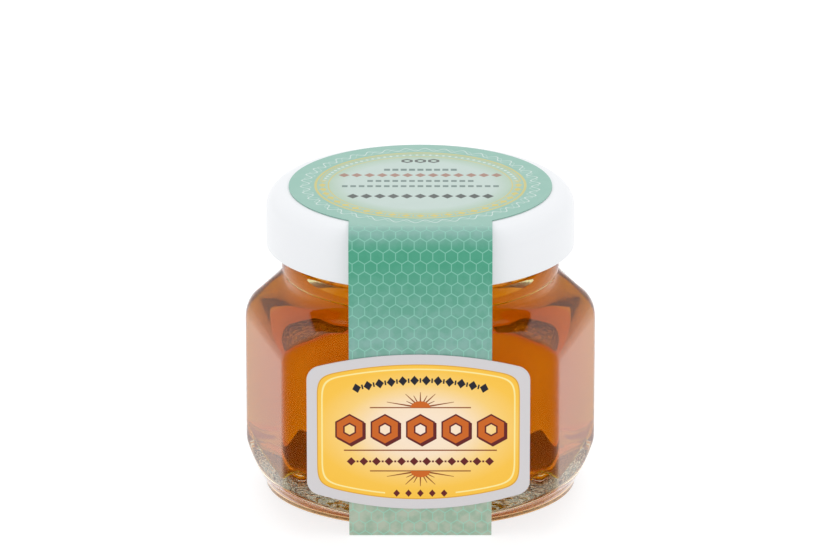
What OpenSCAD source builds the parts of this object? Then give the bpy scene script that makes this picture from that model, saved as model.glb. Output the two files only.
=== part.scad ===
// Small honey jar: a thick oval-hexagon glass jar, its honey, a twist-off lid,
// a paper seal that runs from the lid down the front to the base, and a front label.
// Millimetres. +Z is up, the front faces -Y, and the origin is the middle of the base.

/* [Jar body] */
// Width of the body between its two side ridges
body_w = 52.4; // [48:0.1:66]
// Depth of the body between its flat front and back panels
body_d = 46; // [44:0.1:60]
// Width of the flat front and back panels
panel_w = 39.8; // [34:0.1:43]
// Height of the glass from the base to the rim
jar_h = 46.3; // [45:0.1:60]
// Width of the rounding on the four corners of the body
corner_blend = 2.6; // [1:0.1:4]
// Width of the rounding on the two side ridges
ridge_blend = 1.2; // [0.5:0.1:2]

/* [Heel and base] */
// How far the oval that the jar stands on lies inside the side ridges
heel_in_w = 2.8; // [1.5:0.1:5]
// How far that oval lies inside the front and back panels
heel_in_d = 2.7; // [1.5:0.1:5]
// Height at which the heel reaches the full outline of the body
heel_h = 6.8; // [4:0.1:9]
// Radius between the heel and the standing ring
foot_r = 0.9; // [0.3:0.1:1.5]
// Depth of the hollow under the base
push_up = 0.8; // [0.4:0.1:1.5]
// Width of the flat standing ring round that hollow
foot_w = 3.2; // [2:0.1:5]

/* [Shoulder] */
// Height below the neck at which the side ridges start to curve in
shoulder_h = 7.5; // [6:0.1:9]
// Radius of that curve on the side ridges
shoulder_r = 5; // [3:0.1:7]
// Height of the round part of the shoulder, next to the neck
round_h = 2.1; // [1:0.1:3]
// How fast the shoulder squares off below its round part, per millimetre of height
square_off = 0.46; // [0.3:0.02:0.8]
// How fast the side faces turn towards the neck, per millimetre that their ridge moves in
side_turn = 0.05; // [0:0.01:0.08]
// Width of the rounding between the panels and the heel or shoulder
crease_blend = 1.6; // [0.5:0.1:2]
// Width of the hollow rounding between the shoulder and the neck
neck_blend = 1.2; // [0.5:0.1:2]

/* [Neck] */
// Outer diameter of the neck
neck_d = 39.8; // [33:0.1:40.4]
// Height of the neck from the shoulder to the rim
neck_h = 12.3; // [11:0.1:16]
// How far the bead under the lid stands out from the neck
bead_out = 0.5; // [0.5:0.05:2]
// Height of the bead
bead_h = 2.6; // [1.5:0.1:3]
// Thickness of the neck's wall
neck_wall = 3.1; // [2:0.1:4]
// Radius on the edges of the rim
rim_r = 0.8; // [0.3:0.1:0.9]

/* [Glass thickness] */
// Thickness of the walls
wall = 3.8; // [2.4:0.1:4.4]
// Thickness of the floor
floor_t = 6; // [4:0.1:7.2]
// Radius between the walls and floor of the cavity
cavity_r = 4.5; // [2:0.1:6]

/* [Honey] */
// Height of the air between the honey and the rim
headspace = 3; // [2:0.1:8]

/* [Lid] */
// Height of the lid
lid_h = 9.1; // [7:0.1:10]
// Thickness of the lid's metal
lid_t = 0.5; // [0.3:0.1:0.8]
// Gap between the neck and the lid's skirt, which takes the thread
skirt_gap = 2.6; // [1.8:0.1:3]
// Radius on the lid's top edge
lid_edge_r = 3; // [1.5:0.1:4]
// Radius of the curl on the lid's lower edge
curl_r = 0.6; // [0.3:0.1:0.8]

/* [Paper seal] */
// Bare edge of the lid round the seal's disc
disc_margin = 3.4; // [3:0.1:6]
// Width of the strip down the front
strip_w = 21; // [12:0.1:30]
// Thickness of the paper
paper_t = 0.15; // [0.1:0.01:0.3]
// Radius of the fold at the foot of the strip
fold_r = 0.4; // [0.2:0.1:0.6]

/* [Front label] */
// Bare panel on each side of the label
label_side = 3.5; // [2.8:0.05:6]
// Bare panel between the shoulder and the label's highest point
label_over = 3.4; // [3:0.1:6]
// Height of the label's lowest point above the base
label_z = 4.4; // [4:0.1:6]
// How far the label is stuck off the middle, to one side
label_shift = -0.3; // [-1:0.1:1]
// Radius of the label's arched top edge
label_top_r = 61; // [40:1:90]
// Radius of the label's arched lower edge
label_low_r = 50; // [40:1:90]
// Radius on the label's four corners
label_corner_r = 2.2; // [1:0.1:4]

/* [Clearances] */
// Gap between the honey and the glass
honey_gap = 0.05; // [0.02:0.01:0.1]
// Gap between the paper and what it is stuck to
glue_gap = 0.05; // [0.02:0.01:0.1]

/* [Hidden] */
$fn = 96;
half_w = body_w / 2;
half_d = body_d / 2;
half_panel = panel_w / 2;
// Where the side faces would meet if the ridge between them were sharp
ridge_x = half_w + ridge_blend / 4;
neck_r = neck_d / 2;
bore_r = neck_r - neck_wall;
base_w = body_w - 2 * heel_in_w;
base_d = body_d - 2 * heel_in_d;
neck_z = jar_h - neck_h;
round_z = neck_z - round_h;
shoulder_z = neck_z - shoulder_h;
// Slope of the side faces, and the angle of their normals from the X axis
side_slope = (ridge_x - half_panel) / half_d;
corner_angle = atan2(half_d, half_panel);
// Depth of the oval that just reaches the corners of the body
full_d = half_d / sqrt(1 - pow(half_panel / ridge_x, 2));
// The heel's width and depth grow with height by these powers
heel_bow = 1.3;
heel_bow_d = 1.15;
// Angle over which the shoulder's curve turns before it runs straight to the neck
shoulder_turn = 45;
shoulder_curve_h = shoulder_r * sin(shoulder_turn);
shoulder_curve_w = shoulder_r * (1 - cos(shoulder_turn));
// Share of the wall by which the cavity's shoulder lies lower and further in
slope_share = 0.7;
// Step from the shoulder out to the foot of the neck
neck_root = 0.5;
// The shoulder's oval stands this far outside the side ridges, down to nothing over the last ease_h below the neck
ridge_ease = 0.7;
ease_h = 2;
// An oval or face that limits nothing
far = 500;

lid_r = neck_r + skirt_gap + lid_t;
lid_z = jar_h + lid_t - lid_h;
lid_top = jar_h + lid_t;
// The strip's back lies against the lid above and the front panel below
strip_lid_y = -(lid_r + glue_gap);
strip_panel_y = -(half_d + glue_gap);
// The strip ends where the jar's base meets the ground
strip_end_y = -(base_d / 2 + glue_gap);
label_y = strip_panel_y - paper_t - glue_gap;
label_w = panel_w - 2 * label_side;
label_h = round_z - label_over - label_z;

// How finely the jar's outline and heights are divided
side_steps = 8;
front_steps = 8;
bunching = 1.5;
heel_steps = 7;
heel_over = 1.2;
foot_steps = 2;
curve_steps = 4;
square_steps = 6;
round_steps = 2;
bead_steps = 6;
rim_steps = 3;
cavity_steps = 3;
arc_steps = 8;

// Directions in which the outline is measured, closest together at the corners
quarter_angles = concat(
    [for (i = [0:side_steps - 1]) corner_angle * (1 - pow(1 - i / side_steps, bunching))],
    [for (i = [0:front_steps - 1]) corner_angle + (90 - corner_angle) * pow(i / front_steps, bunching)]
);
half_angles = concat(
    quarter_angles,
    [90],
    [for (i = [len(quarter_angles) - 1:-1:1]) 180 - quarter_angles[i]]
);
angles = concat(half_angles, [for (a = half_angles) a + 180]);

// The smaller of two distances, rounded over where they cross
function rounded_min(a, b, blend) =
    let (h = max(blend - abs(a - b), 0) / blend) min(a, b) - h * h * blend / 4;

function rounded_max(a, b, blend) = -rounded_min(-a, -b, blend);

// Distance from the middle to a face, along a direction given by its cosine with the face's normal
function face_distance(dist, along) = along > dist / far ? dist / along : far;

// Distance from the middle to an oval
function oval_distance(t, a, b) = a * b / sqrt(pow(b * cos(t), 2) + pow(a * sin(t), 2));

// Distance from the middle to the body's hexagon, moved in by inset.
// Its side faces turn towards the neck as half_width, between the ridges, grows smaller.
function hexagon_distance(t, inset, half_width = half_w) =
    let (
        across = abs(cos(t)),
        deep = abs(sin(t)),
        side_angle = atan(side_slope + side_turn * (half_w - half_width)),
        side = (half_width + ridge_blend / 4) * cos(side_angle) - inset,
        near = face_distance(side, across * cos(side_angle) + deep * sin(side_angle)),
        next = face_distance(side, across * cos(side_angle) - deep * sin(side_angle)),
        panel = face_distance(half_d - inset, deep)
    )
    rounded_min(rounded_min(near, next, ridge_blend), panel, corner_blend);

function body_distance(t, inset, axes) =
    rounded_min(hexagon_distance(t, inset), oval_distance(t, axes[0], axes[1]), crease_blend);

function body_ring(z, inset, axes) =
    [for (t = angles) let (r = body_distance(t, inset, axes)) [r * cos(t), r * sin(t), z]];

function oval_ring(z, a, b) =
    [for (t = angles) let (r = oval_distance(t, a, b)) [r * cos(t), r * sin(t), z]];

function round_ring(z, r) = oval_ring(z, r, r);

// Half width and half depth of the heel's oval at a share of the heel's height
function heel_axes(share) = [
    base_w / 2 + (ridge_x - base_w / 2) * pow(share, heel_bow),
    base_d / 2 + (full_d - base_d / 2) * pow(share, heel_bow_d)
];

// Half width of the shoulder on the side ridges
function shoulder_width(z) =
    let (rise = z - shoulder_z)
    rise <= 0 ? half_w :
    rise < shoulder_curve_h ? half_w - shoulder_r + sqrt(pow(shoulder_r, 2) - pow(rise, 2)) :
    let (
        top = half_w - shoulder_curve_w,
        share = (rise - shoulder_curve_h) / (shoulder_h - shoulder_curve_h)
    )
    top + (neck_r + neck_root - top) * share;

function shoulder_axes(z, ease = 0) =
    let (a = shoulder_width(z) + ease) [a, a * (1 + square_off * max(round_z - z, 0))];

// The shoulder runs into the round neck where that is wider
function shoulder_ring(z) =
    let (axes = shoulder_axes(z, ridge_ease * min((neck_z - z) / ease_h, 1)))
    [
        for (t = angles)
        let (
            hexagon = hexagon_distance(t, 0, shoulder_width(z)),
            slope = rounded_min(hexagon, oval_distance(t, axes[0], axes[1]), crease_blend),
            r = rounded_max(slope, neck_r + neck_root, neck_blend)
        )
        [r * cos(t), r * sin(t), z]
    ];

function inset_axes(axes, inset) = [axes[0] - inset, axes[1] - inset];

// Heights evenly spaced above one height and up to another
function heights(low, high, steps) = [for (i = [1:steps]) low + (high - low) * i / steps];

// Heights up the shoulder: its curve, its squared part and its round part
square_z = min(shoulder_z + shoulder_curve_h, round_z);
shoulder_heights = concat(
    heights(shoulder_z, square_z, curve_steps),
    heights(square_z, round_z, square_steps),
    heights(round_z, neck_z, round_steps)
);

// Underside: the hollow, the standing ring and the rounding up to the heel
foot_rings = concat(
    [
        oval_ring(push_up, base_w / 2 - foot_r - foot_w - push_up, base_d / 2 - foot_r - foot_w - push_up),
        oval_ring(0, base_w / 2 - foot_r - foot_w, base_d / 2 - foot_r - foot_w)
    ],
    [
        for (i = [0:foot_steps - 1])
        let (turn = 90 * i / foot_steps, back = foot_r * (1 - sin(turn)))
        oval_ring(foot_r * (1 - cos(turn)), base_w / 2 - back, base_d / 2 - back)
    ]
);

heel_rings = [
    for (i = [0:heel_steps])
    let (share = heel_over * i / heel_steps, z = foot_r + (heel_h - foot_r) * share)
    body_ring(z, 0, heel_axes(share))
];

shoulder_rings = concat(
    [body_ring(shoulder_z, 0, [half_w + crease_blend, far])],
    [for (z = shoulder_heights) shoulder_ring(z)]
);

// The neck with its bead, then the rim, then the mouth
neck_rings = concat(
    [
        for (i = [1:bead_steps])
        let (turn = 180 * i / bead_steps, z = neck_z + bead_h * (1 - cos(turn)) / 2)
        round_ring(z, neck_r + neck_root * (1 + cos(turn)) / 2 + bead_out * sin(turn))
    ],
    [
        for (i = [0:rim_steps])
        let (turn = 90 * i / rim_steps)
        round_ring(jar_h - rim_r * (1 - sin(turn)), neck_r - rim_r * (1 - cos(turn)))
    ],
    [
        for (i = [0:rim_steps])
        let (turn = 90 * i / rim_steps)
        round_ring(jar_h - rim_r * (1 - cos(turn)), bore_r + rim_r * (1 - sin(turn)))
    ]
);

// Rings of the cavity from its floor up to the foot of the mouth, moved in by gap
function cavity_floor_rings(gap) = [
    for (i = [0:cavity_steps])
    let (
        turn = 90 * i / cavity_steps,
        z = floor_t + cavity_r * (1 - cos(turn)),
        inset = wall + gap + cavity_r * (1 - sin(turn)),
        share = (z - foot_r) / (heel_h - foot_r)
    )
    body_ring(z + gap * cos(turn), inset, inset_axes(heel_axes(share), inset))
];

function cavity_shoulder_rings(gap) =
    let (drop = slope_share * wall)
    concat(
        [body_ring(shoulder_z - drop, wall + gap, [half_w, far])],
        [
            for (z = shoulder_heights)
            let (axes = inset_axes(shoulder_axes(z), drop + gap))
            body_ring(z - drop, wall + gap, [max(axes[0], bore_r - gap), max(axes[1], bore_r - gap)])
        ],
        [round_ring(neck_z, bore_r - gap)]
    );

function cavity_rings(gap) = concat(cavity_floor_rings(gap), cavity_shoulder_rings(gap));

function reversed(list) = [for (i = [len(list) - 1:-1:0]) list[i]];

// A closed solid through a stack of rings, the first and last filled in flat.
// upward says that the rings start at the bottom: a stack and the same stack from its top then match.
module skin(rings, upward) {
    count = len(angles);
    last = len(rings) - 1;
    polyhedron(
        points = [for (ring = rings) each ring],
        faces = concat(
            [[for (k = [0:count - 1]) k]],
            [
                for (i = [0:last - 1], k = [0:count - 1])
                let (a = i * count + k, b = i * count + (k + 1) % count, c = a + count, d = b + count)
                each upward ? [[a, c, d], [a, d, b]] : [[a, c, b], [b, c, d]]
            ],
            [[for (k = [count - 1:-1:0]) last * count + k]]
        ),
        convexity = 6
    );
}

module glass() {
    color([0.88, 0.93, 0.93, 0.4])
    skin(concat(foot_rings, heel_rings, shoulder_rings, neck_rings, reversed(cavity_rings(0))), false);
}

module honey() {
    color([0.78, 0.42, 0.03])
    skin(concat(cavity_rings(honey_gap), [round_ring(jar_h - headspace, bore_r - honey_gap)]), true);
}

// Half of a cap's cross-section with a round top edge
module cap_outline(radius, height, edge) {
    square([radius, height - edge]);
    square([radius - edge, height]);
    translate([radius - edge, height - edge]) circle(edge);
}

module lid() {
    color([0.95, 0.96, 0.97])
    translate([0, 0, lid_z])
    rotate_extrude() {
        translate([0, curl_r])
        difference() {
            cap_outline(lid_r, lid_h - curl_r, lid_edge_r);
            cap_outline(lid_r - lid_t, lid_h - curl_r - lid_t, lid_edge_r - lid_t);
        }
        translate([lid_r - curl_r, curl_r]) circle(curl_r);
    }
}

// Points of an arc in the seal's cross-section
function arc(centre, r, from, to) = [
    for (i = [0:arc_steps])
    let (t = from + (to - from) * i / arc_steps)
    centre + r * [cos(t), sin(t)]
];

// One face of the strip from the middle of the lid to the base, out from its back by depth
function strip_face(depth) =
    let (
        bend = lid_edge_r + glue_gap,
        bend_centre = [strip_lid_y + bend, lid_top + glue_gap - bend],
        fold_centre = [strip_panel_y - paper_t + fold_r, fold_r],
        inner = paper_t - depth
    )
    concat(
        [[0, lid_top + glue_gap + depth]],
        arc(bend_centre, bend + depth, 90, 180),
        [[strip_lid_y - depth, lid_z], [strip_panel_y - depth, round_z]],
        arc(fold_centre, fold_r - inner, 180, 270),
        [[strip_end_y, inner]]
    );

module seal() {
    color([0.46, 0.71, 0.62]) {
        translate([0, 0, lid_top + glue_gap]) cylinder(h = paper_t, r = lid_r - disc_margin);
        rotate([90, 0, 90])
        translate([0, 0, -strip_w / 2])
        linear_extrude(strip_w)
        polygon(concat(strip_face(paper_t), reversed(strip_face(0))));
    }
}

module label_outline() {
    offset(r = label_corner_r)
    offset(delta = -label_corner_r)
    intersection() {
        translate([-label_w / 2, label_z]) square([label_w, label_h]);
        translate([0, label_z + label_h - label_top_r]) circle(label_top_r, $fn = 360);
        translate([0, label_z + label_low_r]) circle(label_low_r, $fn = 360);
    }
}

module label() {
    color([0.99, 0.8, 0.35])
    translate([label_shift, label_y, 0])
    rotate([90, 0, 0])
    linear_extrude(paper_t)
    label_outline();
}

glass();
honey();
lid();
seal();
label();
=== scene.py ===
import math

import bmesh
import bpy
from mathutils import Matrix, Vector, noise


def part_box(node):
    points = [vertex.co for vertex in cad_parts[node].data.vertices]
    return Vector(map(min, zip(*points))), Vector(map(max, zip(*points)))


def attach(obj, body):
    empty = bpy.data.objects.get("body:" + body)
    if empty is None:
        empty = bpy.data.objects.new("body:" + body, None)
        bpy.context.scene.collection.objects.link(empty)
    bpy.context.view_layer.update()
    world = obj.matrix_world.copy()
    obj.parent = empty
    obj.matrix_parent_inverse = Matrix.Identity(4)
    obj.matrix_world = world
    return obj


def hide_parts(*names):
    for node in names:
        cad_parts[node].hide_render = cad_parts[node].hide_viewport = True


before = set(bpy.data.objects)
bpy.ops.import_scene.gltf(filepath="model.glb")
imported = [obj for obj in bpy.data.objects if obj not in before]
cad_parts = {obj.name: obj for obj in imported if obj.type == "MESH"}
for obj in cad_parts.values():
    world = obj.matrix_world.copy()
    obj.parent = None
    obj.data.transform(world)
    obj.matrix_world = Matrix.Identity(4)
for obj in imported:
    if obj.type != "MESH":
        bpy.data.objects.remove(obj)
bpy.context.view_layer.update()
mm = 0.001

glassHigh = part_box("glass")[1]
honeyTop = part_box("honey")[1].z
lidLow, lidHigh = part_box("lid")
sealLow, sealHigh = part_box("seal")
labelLow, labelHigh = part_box("label")


def deselectAll():
    for thing in bpy.context.selected_objects:
        thing.select_set(False)


def edit(piece):
    bpy.context.view_layer.objects.active = piece
    bpy.ops.object.mode_set(mode="EDIT")


def done():
    bpy.ops.object.mode_set(mode="OBJECT")


def settle(piece):
    # the finished piece sits at the origin, its place is in its mesh
    deselectAll()
    piece.select_set(True)
    bpy.context.view_layer.objects.active = piece
    bpy.ops.object.transform_apply(location=True, rotation=True, scale=True)


def applyModifiers(piece):
    deselectAll()
    piece.select_set(True)
    bpy.context.view_layer.objects.active = piece
    for modifier in list(piece.modifiers):
        bpy.ops.object.modifier_apply(modifier=modifier.name)


def smooth(piece, angle=40):
    deselectAll()
    piece.select_set(True)
    bpy.context.view_layer.objects.active = piece
    bpy.ops.object.shade_smooth_by_angle(angle=math.radians(angle))


def finishPiece(piece, node, slot, *materials):
    for material in materials:
        piece.data.materials.append(material)
    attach(piece, "root")
    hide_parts(node)


# a material and helpers to wire its nodes

def newMaterial(name):
    material = bpy.data.materials.new(name)
    material.use_nodes = True
    material.node_tree.nodes.clear()
    output = node(material, "ShaderNodeOutputMaterial")
    shader = node(material, "ShaderNodeBsdfPrincipled")
    wire(material, shader.outputs["BSDF"], output.inputs["Surface"])
    return material, shader, output


def node(material, kind, inputs=None, **settings):
    made = material.node_tree.nodes.new(kind)
    for key, value in settings.items():
        setattr(made, key, value)
    for key, value in (inputs or {}).items():
        wire(material, value, made.inputs[key])
    return made


def wire(material, value, socket):
    if isinstance(value, bpy.types.NodeSocket):
        material.node_tree.links.new(value, socket)
    else:
        socket.default_value = value


def maths(material, operation, a, b=0.0, c=0.0):
    made = node(material, "ShaderNodeMath", operation=operation)
    for socket, value in zip(made.inputs, (a, b, c)):
        wire(material, value, socket)
    return made.outputs[0]


def plus(material, a, b):
    return maths(material, "ADD", a, b)


def minus(material, a, b):
    return maths(material, "SUBTRACT", a, b)


def times(material, a, b):
    return maths(material, "MULTIPLY", a, b)


def larger(material, a, b):
    return maths(material, "MAXIMUM", a, b)


def smaller(material, a, b):
    return maths(material, "MINIMUM", a, b)


def absolute(material, a):
    return maths(material, "ABSOLUTE", a)


def ramp(material, value, stops):
    made = node(material, "ShaderNodeValToRGB", {"Fac": value})
    elements = made.color_ramp.elements
    while len(elements) < len(stops):
        elements.new(0.5)
    for element, (place, colour) in zip(elements, stops):
        element.position = place
        element.color = (*colour, 1)
    return made.outputs["Color"]


def blendColours(material, share, first, second):
    # inputs 6 and 7 and output 2 are the node's colours
    made = node(material, "ShaderNodeMix", {0: share}, data_type="RGBA")
    for socket, colour in ((made.inputs[6], first), (made.inputs[7], second)):
        wire(material, (*colour, 1) if isinstance(colour, tuple) else colour, socket)
    return made.outputs[2]


def screenColour(red, green, blue):
    # a colour as picked on screen, 0 to 255, in the linear values that shaders use
    def linear(value):
        value = value / 255
        return value / 12.92 if value <= 0.04045 else ((value + 0.055) / 1.055) ** 2.4
    return (linear(red), linear(green), linear(blue))


# the white that each paper's gloss adds, and the light that falls on it
paperLight = {"strip": (0.02, 1.05), "disc": (0.12, 1.1), "label": (0.03, 1.05)}
darkestInk = 0.003


def inkColour(paper, red, green, blue):
    # the ink that looks this colour once the paper's gloss has added some white
    gloss, light = paperLight[paper]
    return tuple(max((value - gloss) / light, darkestInk) for value in screenColour(red, green, blue))


def objectPlace(material):
    return node(material, "ShaderNodeTexCoord").outputs["Object"]


def cloudy(material, coordinates, scale, detail):
    inputs = {"Vector": coordinates, "Scale": scale, "Detail": detail}
    return node(material, "ShaderNodeTexNoise", inputs).outputs["Fac"]


def relief(material, height, strength, distance, *shaders):
    inputs = {"Height": height, "Strength": strength, "Distance": distance}
    bump = node(material, "ShaderNodeBump", inputs)
    for shader in shaders:
        wire(material, bump.outputs["Normal"], shader.inputs["Normal"])


def addHaze(material, share, shader, roughness, specular, output):
    # a plain surface that covers this share of the clear one
    inputs = {"Roughness": roughness, "Specular IOR Level": specular}
    haze = node(material, "ShaderNodeBsdfPrincipled", inputs)
    inputs = {"Fac": share, 1: shader.outputs["BSDF"], 2: haze.outputs["BSDF"]}
    mixed = node(material, "ShaderNodeMixShader", inputs)
    wire(material, mixed.outputs["Shader"], output.inputs["Surface"])
    return haze


def band(material, value, low, high, first=1.0, last=0.0):
    # first below low, last above high, and a smooth step between
    inputs = {"Value": value, "From Min": low, "From Max": high, "To Min": first, "To Max": last}
    made = node(material, "ShaderNodeMapRange", inputs, interpolation_type="SMOOTHSTEP")
    return made.outputs["Result"]


# printed shapes, as distances in millimetres that are below zero inside the shape

def inked(material, distance, soft=0.03):
    return band(material, distance, -soft, soft)


def length(material, a, b):
    return maths(material, "SQRT", maths(material, "MULTIPLY_ADD", a, a, times(material, b, b)))


def wrapped(material, value, pitch):
    return maths(material, "WRAP", value, pitch / 2, -pitch / 2)


def barShape(material, x, z, halfWide, halfHigh):
    across = minus(material, absolute(material, x), halfWide)
    return larger(material, across, minus(material, absolute(material, z), halfHigh))


def lozengeShape(material, x, z, halfWide, halfHigh):
    across = maths(material, "DIVIDE", absolute(material, x), halfWide)
    both = plus(material, across, maths(material, "DIVIDE", absolute(material, z), halfHigh))
    return times(material, minus(material, both, 1.0), 0.7 * min(halfWide, halfHigh))


def hexagonShape(material, x, z):
    # the distance that is constant along a hexagon that stands on a corner
    across, high = absolute(material, x), absolute(material, z)
    slanted = maths(material, "MULTIPLY_ADD", high, 0.866, times(material, across, 0.5))
    return larger(material, across, slanted)


def row(material, shape, x, z, count, pitch, halfWide, halfHigh):
    # a row of so many marks round x = 0
    shifted = x if count % 2 else plus(material, x, pitch / 2)
    mark = shape(material, wrapped(material, shifted, pitch), z, halfWide, halfHigh)
    inside = minus(material, absolute(material, x), count * pitch / 2)
    return larger(material, mark, inside)


paper = {
    "fibreScale": 3200.0,
    "fibreStrength": 0.12,
    "fibreDepth": 0.05 * mm,
    "cloudScale": 260.0,
    "unevenness": 0.05,
    "glue": 0.05 * mm,
    "creaseAngle": 40,
}


def paperSurface(material, shader, coordinates, roughness):
    # fine fibres, and a gloss that varies a little
    fibre = cloudy(material, coordinates, paper["fibreScale"], 3.0)
    relief(material, fibre, paper["fibreStrength"], paper["fibreDepth"], shader)
    low, high = roughness - paper["unevenness"], roughness + paper["unevenness"]
    cloud = cloudy(material, coordinates, paper["cloudScale"], 2.0)
    wire(material, band(material, cloud, 0.3, 0.7, low, high), shader.inputs["Roughness"])


jar = {
    "panelWidth": 39.8 * mm,
    "cornerBlend": 2.6 * mm,
    "ridgeBlend": 1.2 * mm,
    "heelInWidth": 2.8 * mm,
    "heelInDepth": 2.7 * mm,
    "heelHeight": 6.8 * mm,
    "heelBowWide": 1.3,          # how the heel's curve bulges across and front to back
    "heelBowDeep": 1.15,
    "heelPast": 1.2,             # the heel's oval goes on this far up the wall
    "footRadius": 0.9 * mm,
    "footWidth": 3.2 * mm,
    "pushUp": 0.8 * mm,
    "shoulderHeight": 7.5 * mm,
    "shoulderRadius": 5 * mm,
    "shoulderTurn": math.radians(45),
    "roundHeight": 2.1 * mm,
    "squareOff": 0.46 / mm,
    "sideTurn": 0.05 / mm,
    "creaseBlend": 1.0 * mm,
    "neckBlend": 1.2 * mm,
    "innerRidge": 2.5 * mm,
    "innerCorner": 5 * mm,
    "innerCrease": 3 * mm,
    "ridgeEase": 0.7 * mm,
    "easeHeight": 2 * mm,
    "neckWidth": 39.8 * mm,
    "neckHeight": 12.3 * mm,
    "neckRoot": 0.5 * mm,
    "beadOut": 0.5 * mm,
    "beadHeight": 2.6 * mm,
    "neckWall": 3.1 * mm,
    "rimRadius": 0.8 * mm,
    "wall": 3.8 * mm,
    "floorThickness": 6 * mm,
    "cavityRadius": 4.5 * mm,
    "slopeShare": 0.7,
    "stippleHeight": 0.13 * mm,
    "stipplePitch": 0.75 * mm,
    "honeyReach": 0.2 * mm,      # how far the honey reaches into the wall
    # how finely the rings are drawn
    "sideSteps": 34,
    "frontSteps": 38,
    "evenShare": 0.35,
    "undersideSteps": 50,
    "footSteps": 6,
    "heelSteps": 24,
    "wallSteps": 12,
    "beadSteps": 16,
    "rimSteps": 6,
    "cavityTurns": 12,
}

far = 500 * mm
halfWidth = glassHigh.x
halfDepth = glassHigh.y
jarTop = glassHigh.z
halfPanel = jar["panelWidth"] / 2
ridgeX = halfWidth + jar["ridgeBlend"] / 4
neckRadius = jar["neckWidth"] / 2
mouthRadius = neckRadius - jar["neckWall"]
baseHalfWidth = halfWidth - jar["heelInWidth"]
baseHalfDepth = halfDepth - jar["heelInDepth"]
neckZ = jarTop - jar["neckHeight"]
roundZ = neckZ - jar["roundHeight"]
shoulderZ = neckZ - jar["shoulderHeight"]
sideSlope = (ridgeX - halfPanel) / halfDepth
fullDepth = halfDepth / math.sqrt(1 - (halfPanel / ridgeX) ** 2)


def outlineAngles():
    corner = math.atan2(halfDepth, halfPanel)
    side, front, even = jar["sideSteps"], jar["frontSteps"], jar["evenShare"]
    quarter = []
    for i in range(side):
        share = i / side
        eased = 0.5 - 0.5 * math.cos(math.pi * share)
        quarter.append(corner * (even * share + (1 - even) * eased))
    for i in range(front):
        share = i / front
        quarter.append(corner + (math.pi / 2 - corner) * (even * share + (1 - even) * share ** 2))
    half = quarter + [math.pi / 2] + [math.pi - a for a in reversed(quarter[1:])]
    return half + [a + math.pi for a in half]


angles = outlineAngles()


def roundedMin(a, b, blend):
    h = max(blend - abs(a - b), 0) / blend
    return min(a, b) - h * h * blend / 4


def faceDistance(distance, along):
    return distance / along if along > distance / far else far


def ovalDistance(t, a, b):
    return a * b / math.sqrt((b * math.cos(t)) ** 2 + (a * math.sin(t)) ** 2)


def hexagonDistance(t, inset, width=halfWidth, ridge=jar["ridgeBlend"], corner=jar["cornerBlend"]):
    # the side faces turn towards the neck as the width between the ridges grows smaller
    across, deep = abs(math.cos(t)), abs(math.sin(t))
    sideAngle = math.atan(sideSlope + jar["sideTurn"] * (halfWidth - width))
    side = (width + jar["ridgeBlend"] / 4) * math.cos(sideAngle) - inset
    near = faceDistance(side, across * math.cos(sideAngle) + deep * math.sin(sideAngle))
    opposite = faceDistance(side, across * math.cos(sideAngle) - deep * math.sin(sideAngle))
    panel = faceDistance(halfDepth - inset, deep)
    return roundedMin(roundedMin(near, opposite, ridge), panel, corner)


def bodyRing(z, inset, axes):
    points = []
    for t in angles:
        r = roundedMin(hexagonDistance(t, inset), ovalDistance(t, *axes), jar["creaseBlend"])
        points.append((r * math.cos(t), r * math.sin(t), z))
    return points


def cavityRing(z, inset, axes):
    # blown glass is rounder inside than out
    points = []
    for t in angles:
        hexagon = hexagonDistance(t, inset, halfWidth, jar["innerRidge"], jar["innerCorner"])
        r = roundedMin(hexagon, ovalDistance(t, *axes), jar["innerCrease"])
        points.append((r * math.cos(t), r * math.sin(t), z))
    return points


def ovalRing(z, a, b):
    points = []
    for t in angles:
        r = ovalDistance(t, a, b)
        points.append((r * math.cos(t), r * math.sin(t), z))
    return points


def roundRing(z, r):
    return ovalRing(z, r, r)


def heelAxes(share):
    return (
        baseHalfWidth + (ridgeX - baseHalfWidth) * share ** jar["heelBowWide"],
        baseHalfDepth + (fullDepth - baseHalfDepth) * share ** jar["heelBowDeep"],
    )


def shoulderWidth(z):
    rise, radius, turn = z - shoulderZ, jar["shoulderRadius"], jar["shoulderTurn"]
    curveHeight, curveWidth = radius * math.sin(turn), radius * (1 - math.cos(turn))
    if rise <= 0:
        return halfWidth
    if rise < curveHeight:
        return halfWidth - radius + math.sqrt(radius ** 2 - rise ** 2)
    top = halfWidth - curveWidth
    share = (rise - curveHeight) / (jar["shoulderHeight"] - curveHeight)
    return top + (neckRadius + jar["neckRoot"] - top) * share


def shoulderAxes(z, ease=0):
    width = shoulderWidth(z) + ease
    return (width, width * (1 + jar["squareOff"] * max(roundZ - z, 0)))


def shoulderRing(z):
    axes = shoulderAxes(z, jar["ridgeEase"] * min((neckZ - z) / jar["easeHeight"], 1))
    points = []
    for t in angles:
        hexagon = hexagonDistance(t, 0, shoulderWidth(z))
        slope = roundedMin(hexagon, ovalDistance(t, *axes), jar["creaseBlend"])
        # the slope runs into the round neck where that is wider
        r = -roundedMin(-slope, -(neckRadius + jar["neckRoot"]), jar["neckBlend"])
        points.append((r * math.cos(t), r * math.sin(t), z))
    return points


def quarterTurns(count):
    return [math.pi / 2 * i / count for i in range(count + 1)]


def steps(low, high, count):
    return [low + (high - low) * i / count for i in range(1, count + 1)]


def stippled(point, share):
    # moulded stipple pressed up into the underside, fading out towards the standing ring
    x, y, z = point
    fade = min(1, max(0, (1 - share) / 0.15))
    pitch = jar["stipplePitch"]
    bump = noise.noise(Vector((x / pitch, y / pitch, 3.7)))
    fine = noise.noise(Vector((x / pitch * 2.3, y / pitch * 2.3, 9.1)))
    return (x, y, z + fade * jar["stippleHeight"] * max(0, 0.5 + 0.9 * bump + 0.35 * fine))


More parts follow.
